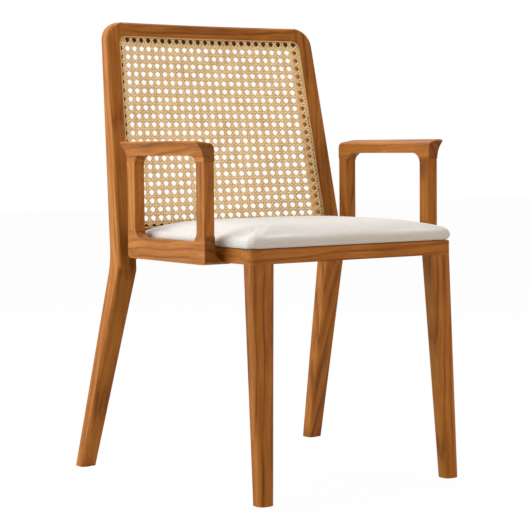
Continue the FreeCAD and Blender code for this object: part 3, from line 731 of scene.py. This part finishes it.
# %% [markdown]
# ## Cushion
# The seat is foam on a plywood board, wrapped in off-white linen: flat underneath, drawn in at its lower
# edge, full at the sides and crowned in the middle. A box with round edges is close, but its top stays
# stiff. So the box is only a pattern: it is remeshed evenly, air is blown into it as cloth, and the swelling
# is scaled so that the crown ends at its true height.

# %% Cushion pattern
pad_front, pad_back = -254.5 * mm, 140.0 * mm
pad_half = 228.0 * mm
pad_bottom, pad_top = 441.1 * mm, 480.8 * mm
pad_middle = (pad_front + pad_back) / 2.0
pattern_top = pad_bottom + 22.0 * mm
front_round, back_round = 20.0 * mm, 45.0 * mm
side_round = 15.0 * mm
lower_round = 5.0 * mm
corner_segments, rim_segments = 8, 5
same_level = 0.001 * mm
cloth_mesh = 5.0 * mm


def cushion_pattern():
    pad = bmesh.new()
    bmesh.ops.create_cube(pad, size=1.0)
    size = (2.0 * pad_half, pad_back - pad_front, pattern_top - pad_bottom)
    middle = (0.0, pad_middle, (pattern_top + pad_bottom) / 2.0)
    bmesh.ops.scale(pad, vec=size, verts=pad.verts)
    bmesh.ops.translate(pad, vec=middle, verts=pad.verts)
    for behind, radius in ((False, front_round), (True, back_round)):
        posts = [edge for edge in pad.edges if abs(edge.verts[0].co.z - edge.verts[1].co.z) > same_level
                 and (edge.verts[0].co.y > pad_middle) == behind]
        bmesh.ops.bevel(pad, geom=posts, offset=radius, offset_type="OFFSET", affect="EDGES",
                        segments=corner_segments, profile=0.5, material=-1)
    for level, radius in ((pattern_top, side_round), (pad_bottom, lower_round)):
        rim = [edge for edge in pad.edges if all(abs(v.co.z - level) < same_level for v in edge.verts)]
        bmesh.ops.bevel(pad, geom=rim, offset=radius, offset_type="OFFSET", affect="EDGES",
                        segments=rim_segments, profile=0.5, material=-1)
    return pad


def apply_modifiers(piece):
    shown = piece.evaluated_get(bpy.context.evaluated_depsgraph_get())
    mesh = bpy.data.meshes.new_from_object(shown)
    piece.modifiers.clear()
    piece.data = mesh


cushion = new_piece("seat_cushion", cushion_pattern())
remesh = cushion.modifiers.new("even_mesh", "REMESH")
remesh.mode = "VOXEL"
remesh.voxel_size = cloth_mesh
bpy.context.view_layer.update()
apply_modifiers(cushion)
print("cushion points:", len(cushion.data.vertices))

# %% Blow the cushion up
blow_frames = 20
air_pressure = 4.0
underside_depth = 1.0 * mm


def blow_up(piece):
    """Lets air press the cloth outwards, with its underside held flat on the board."""
    held = piece.vertex_groups.new(name="underside")
    held.add([v.index for v in piece.data.vertices if v.co.z < pad_bottom + underside_depth],
             1.0, "REPLACE")
    cloth = piece.modifiers.new("linen", "CLOTH")
    cloth.settings.use_pressure = True
    cloth.settings.uniform_pressure_force = air_pressure
    cloth.settings.vertex_group_mass = "underside"
    cloth.settings.effector_weights.gravity = 0.0
    cloth.point_cache.frame_start = 1
    cloth.point_cache.frame_end = blow_frames
    for step in range(1, blow_frames + 1):
        bpy.context.scene.frame_set(step)
    apply_modifiers(piece)
    bpy.context.scene.frame_set(1)


before = [v.co.copy() for v in cushion.data.vertices]
blow_up(cushion)
swell = max(v.co.z - old.z for v, old in zip(cushion.data.vertices, before))
print("crown swelled by", round(swell / mm, 2), "mm")

# %% [markdown]
# The simulation says where the cloth swells most. Its height is then set by the real crown: each point keeps
# its share of the rise. The sides may not swell past the seat's edge, so they move only a little.

# %% Set the crown
crown_rise = pad_top - pattern_top
side_swell = 1.5 * mm
crown_fullness = 2.2


def set_crown(piece, before):
    for v, old in zip(piece.data.vertices, before):
        move = v.co - old
        share = move.z / swell if swell > 0.0 else 0.0
        flat = Vector((move.x, move.y))
        if flat.length > side_swell:
            flat = flat * (side_swell / flat.length)
        rise = (1.0 - (1.0 - max(share, 0.0)) ** crown_fullness) * crown_rise
        v.co = old + Vector((flat.x, flat.y, rise))


set_crown(cushion, before)
cushion.data.shade_smooth()
smooth = cushion.modifiers.new("smooth", "SUBSURF")
smooth.levels = 1
smooth.render_levels = 1
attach(cushion, "root")
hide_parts("seat_cover", "seat_foam")
print("cushion height", round((max(v.co.z for v in cushion.data.vertices) - pad_bottom) / mm, 1), "mm")

# %% [markdown]
# Linen is an uneven plain weave: some threads are thicker, so short pale and dark slubs run both ways, and
# close up the two sets of threads make a fine net of bumps.

# %% Linen
thread_pitch = 0.9 * mm
slub_x_scale = (60.0, 900.0, 500.0)
slub_y_scale = (900.0, 60.0, 500.0)
cloud_scale = (14.0, 14.0, 14.0)
seam_level = pad_bottom + 7.5 * mm
seam_line, seam_fade = 0.4 * mm, 1.6 * mm
linen_bump = 0.16 * mm


def linen_finish(name, dark, light):
    linen = new_finish(name)
    place = linen.place()
    x, y, z = linen.axes(place)
    slub_x = linen.noise(place, slub_x_scale)
    slub_y = linen.noise(place, slub_y_scale)
    cloud = linen.noise(place, cloud_scale)
    turn = 2.0 * math.pi / thread_pitch
    wave_x, wave_y, wave_z = (x * turn).sine(), (y * turn).sine(), (z * turn).sine()
    weave = wave_x * wave_y + wave_y * wave_z + wave_z * wave_x
    tone = slub_x * 0.65 + slub_y * 0.65 + cloud * 0.15 + weave * 0.05 - 0.225
    shade = linen.ramp(tone, [(0.15, dark), (0.85, light)])
    off_seam = ((z - seam_level) ** 2.0) ** 0.5
    seam = 1.0 - linen.between(off_seam, seam_line, seam_fade)
    shade = linen.mixed(seam * 0.2, shade, dark)
    height = weave * 0.35 + slub_x + slub_y - seam * 2.0
    return linen.surface({"Base Color": shade, "Roughness": 0.92, "Normal": linen.bump(height, linen_bump),
                          "Specular IOR Level": 0.2, "Sheen Weight": 0.1, "Sheen Roughness": 0.5})


natural_linen = linen_finish("natural_linen", (0.55, 0.525, 0.485), (0.705, 0.688, 0.66))
cushion.data.materials.append(natural_linen)
print("cushion covered")

# %% [markdown]
# ## What is out of sight
# Turned over, the chair shows how it is held together: corner blocks, screws, the board's plies, and nylon
# glides on the feet. They could share one grey, but a real underside shows bare wood beside bright steel, so
# each gets its own simple finish.

# %% Undersides and fasteners
block_edge = 0.8 * mm


def plain_finish(name, first, second, rough, scale, metallic=0.0):
    """A colour that drifts between two tones, for small or hidden pieces."""
    finish = new_finish(name)
    drift = finish.noise(finish.place(), scale, 3.0)
    shade = finish.mixed(finish.between(drift, 0.3, 0.7), first, second)
    return finish.surface({"Base Color": shade, "Roughness": drift * 0.2 + rough, "Metallic": metallic,
                           "Normal": finish.bump(drift, fine_bump)})


birch = plain_finish("birch_plywood", (0.56, 0.40, 0.235), (0.68, 0.52, 0.33), 0.55, (12.0, 240.0, 900.0))
block_wood = plain_finish("block_wood", (0.44, 0.27, 0.125), (0.56, 0.375, 0.19), 0.55, (220.0, 220.0, 30.0))
dowel_wood = plain_finish("dowel_wood", (0.60, 0.43, 0.245), (0.70, 0.54, 0.34), 0.6, (400.0, 400.0, 400.0))
screw_steel = plain_finish("zinc_steel", (0.52, 0.52, 0.50), (0.66, 0.66, 0.64), 0.28, (700.0, 700.0, 700.0),
                           metallic=1.0)
nylon = plain_finish("brown_nylon", (0.060, 0.038, 0.026), (0.085, 0.056, 0.038), 0.42, (300.0, 300.0, 300.0))
for material, names in (
    (birch, ["seat_board"]),
    (block_wood, ["corner_blocks"]),
    (dowel_wood, ["arm_dowels", "crest_dowels", "lower_back_dowels", "seat_frame_dowels", "rear_leg_dowels",
                  "front_leg_dowels"]),
    (screw_steel, ["corner_block_screws", "seat_screws", "arm_screws"]),
    (nylon, ["floor_glides"]),
):
    for name in names:
        dress(name, material)
soften("corner_blocks", block_edge)
print("undersides and fasteners dressed")

# %% [markdown]
# A black dust cloth hides the board and the cover's raw edges. It could be a thin box, but cloth has no
# thickness to speak of, so it is one flat face with round corners, thickened only a hair.

# %% Dust cloth
dust_half = 193.7 * mm
dust_front, dust_back = -220.2 * mm, 105.7 * mm
dust_level = 440.92 * mm
dust_corner = 20.0 * mm
dust_thickness = 0.2 * mm


def dust_cloth():
    """A thin black cloth, stretched under the board and tacked to its edge."""
    cloth = bmesh.new()
    bmesh.ops.create_grid(cloth, x_segments=1, y_segments=1, size=0.5)
    bmesh.ops.scale(cloth, vec=(2.0 * dust_half, dust_back - dust_front, 1.0), verts=cloth.verts)
    bmesh.ops.translate(cloth, vec=(0.0, (dust_front + dust_back) / 2.0, dust_level), verts=cloth.verts)
    bmesh.ops.bevel(cloth, geom=cloth.verts[:], offset=dust_corner, offset_type="OFFSET", affect="VERTICES",
                    segments=6, profile=0.5, material=-1)
    bmesh.ops.reverse_faces(cloth, faces=cloth.faces)
    return cloth


dust = new_piece("dust_cloth", dust_cloth())
thin = dust.modifiers.new("thickness", "SOLIDIFY")
thin.thickness = dust_thickness
thin.offset = 0.0
dust.data.materials.append(plain_finish("dust_weave", (0.030, 0.030, 0.032), (0.050, 0.050, 0.052), 0.85,
                                        (900.0, 900.0, 900.0)))
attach(dust, "root")
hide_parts("dust_cover")
print("dust cloth", [round(v, 4) for v in (2.0 * dust_half, dust_back - dust_front)], "m")
